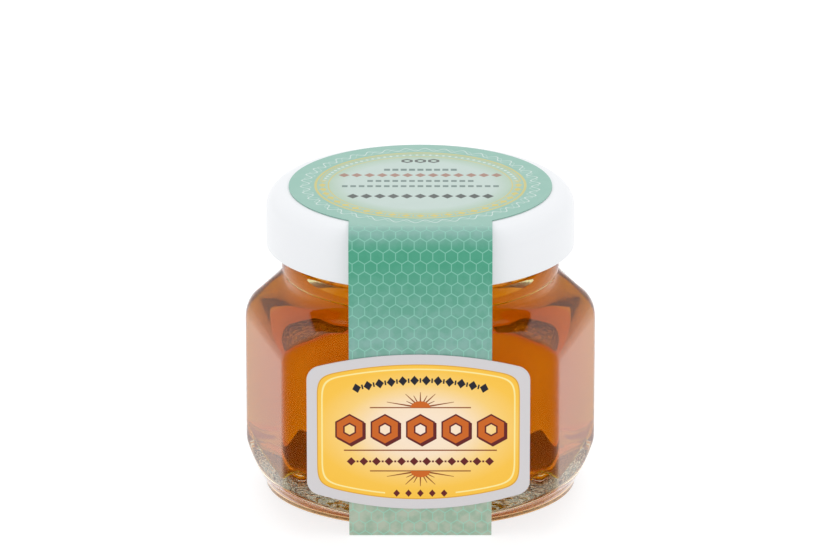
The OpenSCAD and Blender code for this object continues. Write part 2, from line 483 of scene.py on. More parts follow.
def undersideRings():
    inner = jar["footRadius"] + jar["footWidth"]
    a, b = baseHalfWidth - inner, baseHalfDepth - inner
    rings = []
    count = jar["undersideSteps"]
    for share in [0.012] + [(i + 1) / count for i in range(count)]:
        ring = ovalRing(jar["pushUp"] * (1 - share ** 2) ** 1.5, a * share, b * share)
        rings.append([stippled(p, share) for p in ring])
    for turn in quarterTurns(jar["footSteps"])[:-1]:
        back = jar["footRadius"] * (1 - math.sin(turn))
        z = jar["footRadius"] * (1 - math.cos(turn))
        rings.append(ovalRing(z, baseHalfWidth - back, baseHalfDepth - back))
    return rings


def outsideRings():
    rings = []
    footTop, heelTop = jar["footRadius"], jar["heelHeight"]
    for i in range(jar["heelSteps"] + 1):
        share = jar["heelPast"] * i / jar["heelSteps"]
        rings.append(bodyRing(footTop + (heelTop - footTop) * share, 0, heelAxes(share)))
    wallStart = rings[-1][0][2]
    for z in steps(wallStart, shoulderZ, jar["wallSteps"]):
        rings.append(bodyRing(z, 0, (halfWidth + jar["creaseBlend"], far)))
    for z in shoulderHeights():
        rings.append(shoulderRing(z))
    return rings


def shoulderHeights():
    square = min(shoulderZ + jar["shoulderRadius"] * math.sin(jar["shoulderTurn"]), roundZ)
    return steps(shoulderZ, square, 12) + steps(square, roundZ, 8) + steps(roundZ, neckZ, 8)


def neckRings():
    rings = []
    for i in range(1, jar["beadSteps"] + 1):
        turn = math.pi * i / jar["beadSteps"]
        z = neckZ + jar["beadHeight"] * (1 - math.cos(turn)) / 2
        r = neckRadius + jar["neckRoot"] * (1 + math.cos(turn)) / 2 + jar["beadOut"] * math.sin(turn)
        rings.append(roundRing(z, r))
    rim = jar["rimRadius"]
    for turn in quarterTurns(jar["rimSteps"]):
        z = jarTop - rim * (1 - math.sin(turn))
        rings.append(roundRing(z, neckRadius - rim * (1 - math.cos(turn))))
    for turn in quarterTurns(jar["rimSteps"]):
        z = jarTop - rim * (1 - math.cos(turn))
        rings.append(roundRing(z, mouthRadius + rim * (1 - math.sin(turn))))
    return rings


def cavityRings(grow):
    # from the middle of the cavity's floor up to the foot of the mouth
    wall, radius, gap = jar["wall"], jar["cavityRadius"], -grow
    rings = []
    low = jar["floorThickness"] + gap
    inset = wall + gap + radius
    share = (jar["floorThickness"] - jar["footRadius"]) / (jar["heelHeight"] - jar["footRadius"])
    axes = [v - inset for v in heelAxes(share)]
    for part in (0.02, 0.3, 0.6, 0.85):
        rings.append([(x * part, y * part, z) for x, y, z in cavityRing(low, inset, axes)])
    for turn in quarterTurns(jar["cavityTurns"]):
        z = jar["floorThickness"] + radius * (1 - math.cos(turn))
        inset = wall + gap + radius * (1 - math.sin(turn))
        share = (z - jar["footRadius"]) / (jar["heelHeight"] - jar["footRadius"])
        axes = [v - inset for v in heelAxes(share)]
        rings.append(cavityRing(z + gap * math.cos(turn), inset, axes))
    drop = jar["slopeShare"] * wall
    wallStart = rings[-1][0][2]
    for z in steps(wallStart, shoulderZ - drop, 8):
        rings.append(cavityRing(z, wall + gap, (halfWidth, far)))
    for z in shoulderHeights():
        limit = mouthRadius - gap
        axes = [max(v - drop - gap, limit) for v in shoulderAxes(z)]
        rings.append(cavityRing(z - drop, wall + gap, axes))
    rings.append(roundRing(neckZ, mouthRadius - gap))
    return rings


def skinRings(name, rings):
    # a filled circle, extruded ring by ring
    count = len(angles)
    deselectAll()
    bpy.ops.mesh.primitive_circle_add(vertices=count, radius=rings[0][0][0], fill_type="NGON")
    piece = bpy.context.object
    piece.name = name
    piece.data.name = name
    edit(piece)
    mesh = bmesh.from_edit_mesh(piece.data)
    for ring in rings:
        if ring is not rings[0]:
            bpy.ops.mesh.extrude_region_move(TRANSFORM_OT_translate={"value": (0, 0, 0.1 * mm)})
            mesh = bmesh.from_edit_mesh(piece.data)
        mesh.verts.ensure_lookup_table()
        newest = mesh.verts[-count:]
        for vertex, place in zip(newest, ring):
            vertex.co = place
        bmesh.update_edit_mesh(piece.data)
    bpy.ops.mesh.select_all(action="SELECT")
    bpy.ops.mesh.normals_make_consistent(inside=False)
    done()
    return piece


glassLook = {
    "tint": (0.965, 0.955, 0.74),
    "footTint": (0.9, 0.42, 0.11),   # the amber light that gathers in the foot
    "footTop": 3.2 * mm,
    "wetTint": (0.68, 0.4, 0.18),    # the wall against the honey
    "ior": 1.5,
    "wetIor": 1.01,
    "reflection": 0.12,
    "wetReflection": 0.0,
    "waveScale": 140.0,
    "waveStrength": 0.02,
    "waveDepth": 1 * mm,
    "grainScale": 1100.0,
    "grainStrength": 0.2,
    "grainDepth": 0.3 * mm,
    # painted specks on the frosted stipple: the dark ones are painted shade, the light ones painted
    # glints
    "paintedShadeSpeck": (0.05, 0.022, 0.008),
    "paintedGlintSpeck": (1.0, 0.96, 0.86),
    "grainShare": 0.72,
    "grainRoughness": 0.4,
    "grainSpecular": 0.2,
    "creaseAngle": 50,
}


def makeGlassMaterial(name, tint, ior=glassLook["ior"], reflection=glassLook["reflection"]):
    material, shader, output = newMaterial(name)
    shader.inputs["Base Color"].default_value = (*tint, 1)
    shader.inputs["Transmission Weight"].default_value = 1
    shader.inputs["IOR"].default_value = ior
    shader.inputs["Roughness"].default_value = 0
    shader.inputs["Specular Tint"].default_value = (reflection, reflection, reflection, 1)
    return material, shader, output


def makeWavyGlass(name, tint):
    # pressed glass is never quite flat
    material, shader, output = makeGlassMaterial(name, tint)
    waves = cloudy(material, objectPlace(material), glassLook["waveScale"], 1.0)
    relief(material, waves, glassLook["waveStrength"], glassLook["waveDepth"], shader)
    return material


def makeStippledBase():
    material, shader, output = makeGlassMaterial("stippledBase", glassLook["tint"])
    frostWithPaintedSpecks = addHaze(material, glassLook["grainShare"], shader,
                       glassLook["grainRoughness"], glassLook["grainSpecular"], output)
    grain = cloudy(material, objectPlace(material), glassLook["grainScale"], 2.0)
    # the frosting's colour is painted light: dark specks of painted shade and light specks of painted
    # glints, in place of the light and shade that the stipple breaks up
    paintedSpecks = ramp(material, grain, [(0.5, glassLook["paintedShadeSpeck"]), (0.54, glassLook["paintedGlintSpeck"])])
    wire(material, paintedSpecks, frostWithPaintedSpecks.inputs["Base Color"])
    relief(material, grain, glassLook["grainStrength"], glassLook["grainDepth"], frostWithPaintedSpecks, shader)
    return material


def makeGlass():
    underside, walls = undersideRings(), outsideRings() + neckRings()
    outside = underside + walls
    inside = list(reversed(cavityRings(0)))
    piece = skinRings("jarGlass", outside + inside)
    stippledRings = len(underside) - jar["footSteps"]
    # the order of the materials on the piece
    cavity, base, foot = 1, 2, 3
    for face in piece.data.polygons:
        first = min(face.vertices) // len(angles)
        if first >= len(outside):
            face.material_index = cavity
        elif first < stippledRings:
            face.material_index = base
        elif face.center.z < glassLook["footTop"]:
            face.material_index = foot
    smooth(piece, glassLook["creaseAngle"])
    wetGlass, shader, output = makeGlassMaterial(
        "glassAgainstHoney", glassLook["wetTint"], glassLook["wetIor"], glassLook["wetReflection"])
    clearGlass = makeWavyGlass("clearGlass", glassLook["tint"])
    footGlass = makeWavyGlass("glassFoot", glassLook["footTint"])
    finishPiece(piece, "glass", "glass", clearGlass, wetGlass, makeStippledBase(), footGlass)
    print("glass", len(piece.data.polygons), "faces")


honeyLook = {
    "ior": 1.01,
    "absorbed": (0.9923, 0.956, 0.0),
    "density": 700.0,
    "haze": (0.8, 0.24, 0.002),
    "hazeShare": 0.2,
    "hazeRoughness": 0.5,
}


def makeHoneyMaterial():
    material, shader, output = makeGlassMaterial("honey", (1, 1, 1), honeyLook["ior"], 0)
    haze = addHaze(material, honeyLook["hazeShare"], shader, honeyLook["hazeRoughness"], 0, output)
    haze.inputs["Base Color"].default_value = (*honeyLook["haze"], 1)
    absorb = node(material, "ShaderNodeVolumeAbsorption")
    absorb.inputs["Color"].default_value = (*honeyLook["absorbed"], 1)
    absorb.inputs["Density"].default_value = honeyLook["density"]
    wire(material, absorb.outputs["Volume"], output.inputs["Volume"])
    return material


def makeHoney():
    rings = cavityRings(jar["honeyReach"])
    r = mouthRadius + jar["honeyReach"]
    for share in (1, 0.9, 0.4):
        rings.append(roundRing(honeyTop, r * share))
    piece = skinRings("honeyFill", rings)
    smooth(piece, glassLook["creaseAngle"])
    finishPiece(piece, "honey", "honey", makeHoneyMaterial())
    print("honey", len(piece.data.polygons), "faces")


lid = {
    "metal": 0.3 * mm,
    "edgeRadius": 3 * mm,
    "edgeSteps": 12,
    "curlRadius": 0.6 * mm,
    "curlTurn": math.radians(300),
    "curlSteps": 10,
    "around": 192,
    "enamel": (0.79, 0.805, 0.828, 1),
    "roughness": 0.3,
    "peelScale": 900.0,
    "peelStrength": 0.05,
    "peelDepth": 0.2 * mm,
    "creaseAngle": 45,
}
hair = 0.01 * mm             # finds the faces and edges that lie at a height


def makeLid():
    radius, curl = lidHigh.x, lid["curlRadius"]
    bottom = lidLow.z + curl
    height = lidHigh.z - bottom
    deselectAll()
    bpy.ops.mesh.primitive_cylinder_add(
        vertices=lid["around"], radius=radius, depth=height, location=(0, 0, bottom + height / 2))
    piece = bpy.context.object
    piece.name = "twistLid"
    settle(piece)
    edit(piece)
    bpy.ops.mesh.select_all(action="DESELECT")
    mesh = bmesh.from_edit_mesh(piece.data)
    for face in mesh.faces:
        face.select_set(face.calc_center_median().z < bottom + hair)
    bpy.ops.mesh.delete(type="ONLY_FACE")
    mesh = bmesh.from_edit_mesh(piece.data)
    for edge in mesh.edges:
        edge.select_set(all(v.co.z > lidHigh.z - hair for v in edge.verts))
    bmesh.update_edit_mesh(piece.data)
    bpy.ops.mesh.bevel(offset=lid["edgeRadius"], segments=lid["edgeSteps"], profile=0.5)
    # roll the lower edge inwards
    mesh = bmesh.from_edit_mesh(piece.data)
    for face in mesh.faces:
        face.select_set(False)
    for edge in mesh.edges:
        edge.select_set(all(v.co.z < bottom + hair for v in edge.verts))
    bmesh.update_edit_mesh(piece.data)
    for i in range(1, lid["curlSteps"] + 1):
        bpy.ops.mesh.extrude_region_move()
        turn = lid["curlTurn"] * i / lid["curlSteps"]
        r = radius - curl + curl * math.cos(turn)
        z = bottom - curl * math.sin(turn)
        mesh = bmesh.from_edit_mesh(piece.data)
        for vertex in mesh.verts:
            if vertex.select:
                flat = math.hypot(vertex.co.x, vertex.co.y)
                vertex.co = (vertex.co.x * r / flat, vertex.co.y * r / flat, z)
        bmesh.update_edit_mesh(piece.data)
    bpy.ops.mesh.select_all(action="SELECT")
    bpy.ops.mesh.normals_make_consistent(inside=False)
    done()
    shell = piece.modifiers.new("metal", "SOLIDIFY")
    shell.thickness = lid["metal"]
    shell.offset = -1
    applyModifiers(piece)
    smooth(piece, lid["creaseAngle"])
    material, shader, output = newMaterial("whiteEnamel")
    shader.inputs["Base Color"].default_value = lid["enamel"]
    shader.inputs["Roughness"].default_value = lid["roughness"]
    peel = cloudy(material, objectPlace(material), lid["peelScale"], 2.0)
    relief(material, peel, lid["peelStrength"], lid["peelDepth"], shader)
    finishPiece(piece, "lid", "lid_enamel", material)
    print("lid", len(piece.data.polygons), "faces")


seal = {
    "paper": 0.15 * mm,
    "foldRadius": 0.4 * mm,
    "stripWidth": 21 * mm,
    "acrossSteps": 24,
    "aroundSteps": 168,
    "downSteps": 40,
    "roughness": 0.38,
    "gloss": 0.25,
    # the honeycomb print, in millimetres
    "cellPitch": 1.81,
    "rowPitch": 1.685,
    "cellLine": 0.12,
    "cellShare": 0.6,
    "cellsFrom": (17.5, 20.0),   # where along the strip the cells and the blotches set in
    "blotchesFrom": (19.0, 24.0),
    "blotchScale": 700.0,
    "blotchShare": 0.3,
    "stripLength": 70.0,
    "stripTop": inkColour("strip", 84, 163, 135),
    "stripMiddle": inkColour("strip", 134, 178, 168),
    "stripLow": inkColour("strip", 147, 175, 161),
    "stripFoot": inkColour("strip", 177, 188, 170),
    "blotch": inkColour("strip", 70, 152, 122),
    "cellLines": inkColour("strip", 150, 212, 192),
    # the disc's print, radii in millimetres
    "discRadius": 20.0,
    "waveRadius": 17.2,
    "waveHeight": 0.62,
    "waves": 38,
    "waveLine": 0.11,
    "ringRadius": 15.6,
    "dotRadius": 14.5,
    "innerRadius": 13.7,
    "rim": inkColour("disc", 172, 210, 198),
    "between": inkColour("disc", 196, 218, 200),
    "middle": inkColour("disc", 212, 228, 222),
    "gold": inkColour("disc", 226, 214, 146),
    "white": inkColour("disc", 228, 240, 236),
    "grey": inkColour("disc", 132, 150, 146),
    "rose": inkColour("disc", 184, 142, 128),
    "slate": inkColour("disc", 62, 84, 84),
}


def honeycomb(material, x, y, pitch):
    # distance from the nearest line between cells
    half, rise = pitch / 2, pitch * math.sqrt(3) / 2

    def cell(x, y):
        return hexagonShape(material, wrapped(material, x, pitch), wrapped(material, y, 2 * rise))

    shifted = cell(plus(material, x, half), plus(material, y, rise))
    return minus(material, half, smaller(material, cell(x, y), shifted))


def makeStripPrint(material, x, y, coordinates):
    # the colour grows paler down the strip; the paler stops where the paper lies on the lid and turns
    # over its edge are partly the disc's print and partly painted highlight, the gloss of the bend
    along = maths(material, "DIVIDE", y, seal["stripLength"])
    places = (
        (0.26, "rim"), (0.31, "stripMiddle"), (0.35, "stripTop"), (0.38, "stripTop"),
        (0.55, "stripMiddle"), (0.68, "stripLow"), (0.92, "stripFoot"))
    colour = ramp(material, along, [(place, seal[ink]) for place, ink in places])
    blotches = cloudy(material, coordinates, seal["blotchScale"], 3.0)
    shade = band(material, blotches, 0.35, 0.65, 0.0, seal["blotchShare"])
    shade = times(material, shade, band(material, y, *seal["blotchesFrom"], 0.0, 1.0))
    colour = blendColours(material, shade, colour, seal["blotch"])
    squeezed = times(material, y, seal["cellPitch"] * math.sqrt(3) / 2 / seal["rowPitch"])
    lines = honeycomb(material, x, squeezed, seal["cellPitch"])
    width = seal["cellLine"] / 2
    amount = band(material, lines, width - 0.04, width + 0.05, seal["cellShare"], 0.0)
    amount = times(material, amount, band(material, y, *seal["cellsFrom"], 0.0, 1.0))
    return blendColours(material, amount, colour, seal["cellLines"])


def makeDiscPrint(material, x, y):
    radius = length(material, x, y)
    turn = maths(material, "ARCTAN2", x, y)
    front = band(material, y, -3, -1, 0.0, 1.0)

    def ring(place, halfWide):
        return minus(material, absolute(material, minus(material, radius, place)), halfWide)

    def wave(place, phase):
        angle = maths(material, "MULTIPLY_ADD", turn, seal["waves"], phase)
        sine = maths(material, "SINE", angle)
        bent = maths(material, "MULTIPLY_ADD", sine, seal["waveHeight"], radius)
        return minus(material, absolute(material, minus(material, bent, place)), seal["waveLine"])

    def circleOf(shape, place, pitch, halfWide, halfHigh):
        count = round(2 * math.pi * place / pitch)
        around = wrapped(material, times(material, turn, place), 2 * math.pi * place / count)
        return shape(material, around, minus(material, radius, place), halfWide, halfHigh)

    def paint(colour, distance, ink, share):
        amount = times(material, inked(material, distance, 0.05), share)
        return blendColours(material, amount, colour, ink)

    places = ((0.0, "middle"), (0.55, "middle"), (0.68, "between"), (0.8, "rim"), (1.0, "rim"))
    outwards = maths(material, "DIVIDE", radius, seal["discRadius"])
    colour = ramp(material, outwards, [(place, seal[ink]) for place, ink in places])
    colour = paint(colour, wave(seal["waveRadius"], 0.0), seal["white"], 0.9)
    colour = paint(colour, wave(seal["waveRadius"] - 0.25, 2.1), seal["white"], 0.35)
    back = minus(material, 1.0, front)
    colour = paint(colour, ring(seal["ringRadius"], 0.2), seal["gold"], 0.85)
    colour = paint(colour, ring(seal["ringRadius"] - 0.55, 0.08), seal["gold"], back)
    colour = paint(colour, ring(seal["innerRadius"], 0.1), seal["gold"], 0.9)
    dots = seal["dotRadius"]
    colour = paint(colour, circleOf(lozengeShape, dots, 1.0, 0.3, 0.3), seal["white"], back)
    colour = paint(colour, circleOf(lozengeShape, dots + 0.1, 2.1, 0.75, 0.62), seal["gold"], front)
    colour = paint(colour, circleOf(barShape, dots + 0.1, 1.05, 0.1, 0.4), seal["gold"], front)
    # plain marks in rows: place, shape, how many, pitch, half width, half height and ink
    rows = [
        (-7.3, barShape, 9, 1.25, 0.45, 0.5, "grey"),
        (-4.7, lozengeShape, 13, 1.9, 0.85, 0.95, "rose"),
        (-1.9, barShape, 13, 1.25, 0.42, 0.45, "grey"),
        (0.6, barShape, 19, 1.25, 0.42, 0.45, "grey"),
        (5.35, lozengeShape, 11, 2.0, 0.9, 1.1, "slate"),
    ]
    for place, shape, count, pitch, halfWide, halfHigh, ink in rows:
        marks = row(material, shape, x, minus(material, y, place), count, pitch, halfWide, halfHigh)
        colour = paint(colour, marks, seal[ink], 0.85)
    # three small cells above the rows
    pitch, outer, inner, place = 2.0, 0.85, 0.4, -11.6
    cells = hexagonShape(material, wrapped(material, x, pitch), minus(material, y, place))
    cells = larger(material, minus(material, cells, outer), minus(material, inner, cells))
    cells = larger(material, cells, minus(material, absolute(material, x), 1.5 * pitch))
    return paint(colour, cells, seal["slate"], 0.8), radius


def makeSealPaper():
    material, shader, output = newMaterial("sealPaper")
    onPaper = node(material, "ShaderNodeUVMap", uv_map="paper")
    place = node(material, "ShaderNodeSeparateXYZ", {"Vector": onPaper.outputs["UV"]})
    x, y = place.outputs["X"], place.outputs["Y"]
    coordinates = objectPlace(material)
    strip = makeStripPrint(material, x, y, coordinates)
    disc, radius = makeDiscPrint(material, x, y)
    edge = sealHigh.y / mm
    onDisc = band(material, radius, edge - 0.1, edge)
    colour = blendColours(material, onDisc, strip, disc)
    wire(material, colour, shader.inputs["Base Color"])
    shader.inputs["Specular IOR Level"].default_value = seal["gloss"]
    paperSurface(material, shader, coordinates, seal["roughness"])
    return material


def sealPath():
    # the strip's outer face as y and z, from the chord on the disc to its end under the jar
    radius = sealHigh.y
    half = seal["stripWidth"] / 2
    start = -math.sqrt(radius ** 2 - half ** 2)
    frontY, topZ = sealLow.y, sealHigh.z
    bend = frontY + lid["edgeRadius"] + paper["glue"] + seal["paper"]
    bendRadius = bend - frontY
    path = [(start, topZ)]
    for i in range(1, 4):
        path.append((start + (bend - start) * i / 4, topZ))
    for turn in reversed(quarterTurns(12)):
        z = topZ - bendRadius + bendRadius * math.sin(turn)
        path.append((bend - bendRadius * math.cos(turn), z))
    fold = seal["foldRadius"]
    for z in steps(path[-1][1], fold, seal["downSteps"]):
        path.append((frontY, z))
    for turn in quarterTurns(6)[1:]:
        path.append((frontY + fold - fold * math.cos(turn), fold - fold * math.sin(turn)))
    path.append((-baseHalfDepth - paper["glue"], 0.0))
    return path


def makeSeal():
    radius = sealHigh.y
    half = seal["stripWidth"] / 2
    corner = math.asin(half / radius)
    # the disc's edge: even steps, with vertices exactly at the two corners of the strip
    across, around = seal["acrossSteps"], seal["aroundSteps"]
    deselectAll()
    bpy.ops.mesh.primitive_circle_add(vertices=across + around, radius=radius, fill_type="NGON")
    piece = bpy.context.object
    piece.name = "paperSeal"
    settle(piece)
    chordY = -radius * math.cos(corner)
    edit(piece)
    mesh = bmesh.from_edit_mesh(piece.data)
    mesh.verts.ensure_lookup_table()
    for i, vertex in enumerate(mesh.verts):
        if i <= across:
            vertex.co = (-half + 2 * half * i / across, chordY, sealHigh.z)
        else:
            t = corner + (2 * math.pi - 2 * corner) * (i - across) / around
            vertex.co = (radius * math.sin(t), -radius * math.cos(t), sealHigh.z)
    bpy.ops.mesh.select_all(action="DESELECT")
    for edge in mesh.edges:
        if all(abs(v.co.y - chordY) < 1e-7 and abs(v.co.x) <= half + 1e-7 for v in edge.verts):
            edge.select_set(True)
    bmesh.update_edit_mesh(piece.data)
    path = sealPath()
    for place, following in zip(path, path[1:]):
        step = (0, following[0] - place[0], following[1] - place[1])
        bpy.ops.mesh.extrude_region_move(TRANSFORM_OT_translate={"value": step})
    done()
    # the pattern follows the paper: x across, and the length of paper from the middle of the lid
    lengths = [-path[0][0]]
    for place, following in zip(path, path[1:]):
        lengths.append(lengths[-1] + math.dist(place, following))
    return piece, path, lengths


def finishSeal():
    piece, path, lengths = makeSeal()
    layer = piece.data.uv_layers.new(name="paper")

    def paperLength(co):
        best = min(range(len(path)), key=lambda k: abs(path[k][0] - co.y) + abs(path[k][1] - co.z))
        return lengths[best]

    chordY = path[0][0]
    for loop in piece.data.loops:
        co = piece.data.vertices[loop.vertex_index].co
        onDisc = abs(co.z - sealHigh.z) < 1e-6 and co.y > chordY - 1e-6
        v = -co.y if onDisc else paperLength(co)
        layer.data[loop.index].uv = (co.x / mm, v / mm)
    shell = piece.modifiers.new("paper", "SOLIDIFY")
    shell.thickness = seal["paper"]
    shell.offset = -1
    applyModifiers(piece)
    smooth(piece, paper["creaseAngle"])
    finishPiece(piece, "seal", "seal_paper", makeSealPaper())
    print("seal", len(piece.data.polygons), "faces")


label = {
    "topRadius": 61 * mm,
    "lowRadius": 50 * mm,
    "cornerRadius": 2.2 * mm,
    "roughness": 0.42,
    "gloss": 0.3,
    "cornerSteps": 8,
    "archSteps": 24,
    # the yellow's oval, then the border and its lines in from the edge, in millimetres
    "ovalWide": 13.5,
    "ovalHigh": 8.0,
    "borderWidth": 1.5,
    "goldWidth": 0.15,
    "paleAt": 2.25,
    "paleWidth": 0.22,
    "border": inkColour("label", 214, 211, 213),
    "goldLine": inkColour("label", 222, 166, 62),
    "yellow": inkColour("label", 250, 194, 70),
    "paleLine": inkColour("label", 254, 236, 160),
    "warmYellow": inkColour("label", 251, 200, 86),
    "paleYellow": inkColour("label", 251, 211, 126),
    "paleCream": inkColour("label", 251, 228, 198),
    "cream": inkColour("label", 251, 232, 214),
    "orange": inkColour("label", 206, 108, 32),
    "darkRed": inkColour("label", 106, 40, 24),
    "brown": inkColour("label", 146, 84, 48),
    "navy": inkColour("label", 44, 40, 58),
    # places of the marks above the base, in millimetres
    "archTop": 24.5,
    "archRadius": 37.0,
    "sunBase": 20.27,
    "cellsAt": 16.85,
    "ruleAt": 13.6,
    "marksAt": 11.85,
    "lowSunBase": 10.35,
    "lowMarksAt": 6.85,
    "gapHalfWide": 5.2,
    "gapHalfHigh": 5.0,
    # the half suns: rays as angle and reach on each side
    "sunRadius": 1.45,
    "rays": ((90, 2.4), (62, 2.1), (44, 3.05), (26, 2.3), (10, 5.0)),
    "rayWidth": 0.32,
    "rayTip": 0.08,
    "sunRule": (7.42, 0.09),
    # the row of cells
    "cellCount": 5,
    "cellPitch": 5.2,
    "cellOuter": 2.12,
    "cellInner": 0.95,
    "cellLine": 0.24,
    "shadowRight": 0.26,
    "shadowDown": 0.24,
}


def makeSun(material, x, z):
    # half a sun on its rule, with rays on both sides of the middle
    side = absolute(material, x)
    core = minus(material, length(material, side, times(material, z, 1.45)), label["sunRadius"])
    rays = None
    halfBase, narrowing = label["rayWidth"] / 2, (label["rayWidth"] - label["rayTip"]) / 2
    for angle, reach in label["rays"]:
        c, s = math.cos(math.radians(angle)), math.sin(math.radians(angle))
        along = maths(material, "MULTIPLY_ADD", side, c, times(material, z, s))
        off = absolute(material, maths(material, "MULTIPLY_ADD", z, c, times(material, side, -s)))
        taper = maths(material, "MULTIPLY_ADD", along, narrowing / reach, -halfBase)
        ray = larger(material, plus(material, off, taper), minus(material, along, reach))
        rays = ray if rays is None else smaller(material, rays, ray)
    below = times(material, z, -1.0)
    rule = barShape(material, x, z, *label["sunRule"])
    rays = smaller(material, larger(material, rays, below), rule)
    return larger(material, core, below), rays


def edgeDistance(material, x, z, middle):
    # distance from the label's own edge, below zero inside it
    half = (labelHigh.x - labelLow.x) / 2 / mm
    top, low = label["topRadius"] / mm, label["lowRadius"] / mm
    across = minus(material, x, middle / mm)
    upper = length(material, across, minus(material, z, labelHigh.z / mm - top))
    lower = length(material, across, minus(material, z, labelLow.z / mm + low))
    arches = larger(material, minus(material, upper, top), minus(material, lower, low))
    sides = minus(material, absolute(material, across), half)
    return maths(material, "SMOOTH_MAX", arches, sides, label["cornerRadius"] / mm * 1.5)


def makeLabelPaper(middle):
    material, shader, output = newMaterial("labelPaper")
    coordinates = objectPlace(material)
    scaled = node(material, "ShaderNodeVectorMath", {0: coordinates, "Scale": 1 / mm}, operation="SCALE")
    place = node(material, "ShaderNodeSeparateXYZ", {"Vector": scaled.outputs["Vector"]})
    x, z = place.outputs["X"], place.outputs["Z"]

    def above(height):
        return minus(material, z, height)

    def paint(colour, distance, ink):
        return blendColours(material, inked(material, distance), colour, ink)

    # yellow all round, cream towards the middle
    across = maths(material, "DIVIDE", x, label["ovalWide"])
    high = maths(material, "DIVIDE", above(label["cellsAt"]), label["ovalHigh"])
    places = (
        (0.0, "cream"), (0.3, "paleCream"), (0.52, "paleYellow"), (0.7, "warmYellow"), (1.0, "yellow"))
    oval = times(material, length(material, across, high), 0.6)
    colour = ramp(material, oval, [(place, label[ink]) for place, ink in places])
    # the white border, its gold line, and a pale line with a gap under the low marks
    edge = edgeDistance(material, x, z, middle)
    paleEdge = absolute(material, plus(material, edge, label["paleAt"]))
    paleEdge = minus(material, paleEdge, label["paleWidth"] / 2)
    gap = barShape(material, x, above(labelLow.z / mm), label["gapHalfWide"], label["gapHalfHigh"])
    paleEdge = larger(material, paleEdge, times(material, gap, -1.0))
    colour = paint(colour, paleEdge, label["paleLine"])
    inwards = times(material, edge, -1.0)
    goldTo = label["borderWidth"] + label["goldWidth"]
    colour = paint(colour, minus(material, inwards, goldTo), label["goldLine"])
    colour = paint(colour, minus(material, inwards, label["borderWidth"]), label["border"])
    # an arch of lozenges
    fromCentre = above(label["archTop"] - label["archRadius"])
    arc = times(material, maths(material, "ARCTAN2", x, fromCentre), label["archRadius"])
    high = minus(material, length(material, x, fromCentre), label["archRadius"])
    colour = paint(colour, row(material, lozengeShape, arc, high, 12, 1.72, 0.66, 0.76), label["navy"])
    colour = paint(colour, row(material, barShape, arc, high, 11, 1.72, 0.12, 0.36), label["navy"])
    # two half suns, mirrored
    mirror = (label["sunBase"] + label["lowSunBase"]) / 2
    folded = minus(material, absolute(material, above(mirror)), label["sunBase"] - mirror)
    core, rays = makeSun(material, x, folded)
    colour = paint(colour, rays, label["brown"])
    colour = paint(colour, core, label["orange"])
    # a row of honeycomb cells with a dark edge and shadow
    pitch, outer = label["cellPitch"], label["cellOuter"]
    inner, line = label["cellInner"], label["cellLine"]
    cellX, cellZ = wrapped(material, x, pitch), above(label["cellsAt"])
    cell = hexagonShape(material, cellX, cellZ)
    shadowX = minus(material, cellX, label["shadowRight"])
    shadow = hexagonShape(material, shadowX, plus(material, cellZ, label["shadowDown"]))
    beyond = minus(material, absolute(material, x), label["cellCount"] / 2 * pitch)
    dark = minus(material, smaller(material, cell, shadow), outer)
    dark = larger(material, dark, minus(material, inner - line, cell))
    colour = paint(colour, larger(material, dark, beyond), label["darkRed"])
    middleOfWall = (outer - line + inner) / 2
    wall = absolute(material, minus(material, cell, middleOfWall))
    wall = larger(material, minus(material, wall, outer - line - middleOfWall), beyond)
    colour = paint(colour, wall, label["orange"])
    colour = paint(colour, barShape(material, x, above(label["ruleAt"]), 11.25, 0.1), label["brown"])
    marks = above(label["marksAt"])
    colour = paint(colour, row(material, lozengeShape, x, marks, 12, 1.85, 0.66, 0.66), label["darkRed"])
    colour = paint(colour, row(material, barShape, x, marks, 11, 1.85, 0.15, 0.15), label["darkRed"])
    lowMarks = row(material, lozengeShape, x, above(label["lowMarksAt"]), 5, 1.75, 0.5, 0.58)
    colour = paint(colour, lowMarks, label["darkRed"])
    wire(material, colour, shader.inputs["Base Color"])
    shader.inputs["Specular IOR Level"].default_value = label["gloss"]
    paperSurface(material, shader, coordinates, label["roughness"])
    return material


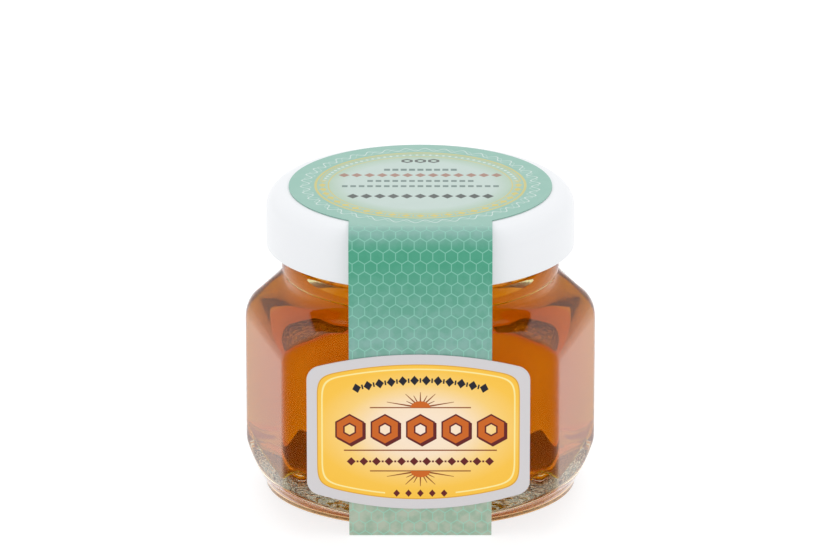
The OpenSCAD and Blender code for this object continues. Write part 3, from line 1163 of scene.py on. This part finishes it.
def makeLabel():
    middle = (labelLow.x + labelHigh.x) / 2
    halfLabel = (labelHigh.x - labelLow.x) / 2
    topRadius, lowRadius, corner = label["topRadius"], label["lowRadius"], label["cornerRadius"]
    topCentre = labelHigh.z - topRadius
    lowCentre = labelLow.z + lowRadius
    inner = halfLabel - corner
    outline = []
    # the rounded corners sit on arcs of a smaller radius
    for centre, radius, sign in ((topCentre, topRadius, 1), (lowCentre, lowRadius, -1)):
        cornerZ = centre + sign * math.sqrt((radius - corner) ** 2 - inner ** 2)
        tilt = math.asin(inner / (radius - corner))
        count = label["cornerSteps"]
        turns = [tilt + (math.pi / 2 - tilt) * i / count for i in range(count + 1)]
        leftCorner = []
        for turn in turns:
            z = cornerZ + sign * corner * math.cos(turn)
            leftCorner.append((-inner - corner * math.sin(turn), z))
        rightCorner = [(-x, z) for x, z in reversed(leftCorner)]
        arch = []
        for i in range(1, label["archSteps"]):
            turn = tilt * (1 - 2 * i / label["archSteps"])
            arch.append((radius * math.sin(turn), centre + sign * radius * math.cos(turn)))
        half = rightCorner + arch + leftCorner
        outline += half if sign > 0 else list(reversed(half))
    deselectAll()
    bpy.ops.mesh.primitive_circle_add(vertices=len(outline), radius=halfLabel, fill_type="NGON")
    piece = bpy.context.object
    piece.name = "frontLabel"
    edit(piece)
    mesh = bmesh.from_edit_mesh(piece.data)
    mesh.verts.ensure_lookup_table()
    for vertex, (x, z) in zip(mesh.verts, outline):
        vertex.co = (middle + x, labelHigh.y, z)
    bmesh.update_edit_mesh(piece.data)
    bpy.ops.mesh.select_all(action="SELECT")
    bpy.ops.mesh.extrude_region_move(TRANSFORM_OT_translate={"value": (0, labelLow.y - labelHigh.y, 0)})
    bpy.ops.mesh.select_all(action="SELECT")
    bpy.ops.mesh.normals_make_consistent(inside=False)
    done()
    smooth(piece, paper["creaseAngle"])
    finishPiece(piece, "label", "label_paper", makeLabelPaper(middle))
    print("label", len(piece.data.polygons), "faces")


stageSettings = {
    "floorSize": 6.0,
    "floorZ": -0.02 * mm,
    "floorColour": (0.25, 0.25, 0.25, 1),
    "floorRoughness": 0.6,
    "floorGlow": 0.8,
    "white": (1, 1, 1, 1),
    "worldStrength": 1.0,
    "softboxPlace": (0, 0.1, 1.2),
    "softboxSize": (1.2, 1.0),
    "softboxPower": 2.5,
}

cameraSettings = {
    "distance": 970 * mm,
    "elevation": 19.5,
    "lens": 277.0,
    "sensor": 36,
    "clip": (0.05, 20),
    "lookAt": (0, 0, 22.2 * mm),
    "riseInFrame": 9.305 * mm,
    "sideInFrame": 0.06 * mm,
}


def makeStage():
    deselectAll()
    place = (0, 0, stageSettings["floorZ"])
    bpy.ops.mesh.primitive_plane_add(size=stageSettings["floorSize"], location=place)
    floor = bpy.context.object
    floor.name = "floor"
    material, shader, output = newMaterial("paleFloor")
    shader.inputs["Base Color"].default_value = stageSettings["floorColour"]
    shader.inputs["Roughness"].default_value = stageSettings["floorRoughness"]
    shader.inputs["Emission Color"].default_value = stageSettings["white"]
    shader.inputs["Emission Strength"].default_value = stageSettings["floorGlow"]
    floor.data.materials.append(material)
    world = bpy.data.worlds.new("studio")
    bpy.context.scene.world = world
    world.use_nodes = True
    background = world.node_tree.nodes["Background"]
    background.inputs["Color"].default_value = stageSettings["white"]
    background.inputs["Strength"].default_value = stageSettings["worldStrength"]
    print("stage")


def makeSoftbox():
    data = bpy.data.lights.new("topSoftbox", "AREA")
    data.shape = "RECTANGLE"
    data.size, data.size_y = stageSettings["softboxSize"]
    data.energy = stageSettings["softboxPower"]
    lamp = bpy.data.objects.new("topSoftbox", data)
    bpy.context.scene.collection.objects.link(lamp)
    lamp.location = stageSettings["softboxPlace"]
    lamp.rotation_euler = (-lamp.location).to_track_quat("-Z", "Y").to_euler()


def makeCamera():
    target = Vector(cameraSettings["lookAt"])
    tilt = math.radians(cameraSettings["elevation"])
    back = Vector((0, -math.cos(tilt), math.sin(tilt)))
    up = Vector((0, math.sin(tilt), math.cos(tilt)))
    data = bpy.data.cameras.new("camera")
    data.lens = cameraSettings["lens"]
    data.sensor_width = cameraSettings["sensor"]
    data.clip_start, data.clip_end = cameraSettings["clip"]
    camera = bpy.data.objects.new("camera", data)
    bpy.context.scene.collection.objects.link(camera)
    camera.location = target + back * cameraSettings["distance"]
    aim = target + up * cameraSettings["riseInFrame"] - Vector((1, 0, 0)) * cameraSettings["sideInFrame"]
    camera.rotation_euler = (aim - camera.location).to_track_quat("-Z", "Y").to_euler()
    bpy.context.scene.camera = camera


makeGlass()
makeHoney()
makeLid()
finishSeal()
makeLabel()
makeStage()
makeSoftbox()
makeCamera()

bpy.context.scene.view_settings.view_transform = "Standard"
cycles = bpy.context.scene.cycles      # light takes many turns in clear glass and honey
cycles.max_bounces = 40
cycles.transmission_bounces = 40
cycles.glossy_bounces = 12
cycles.diffuse_bounces = 6
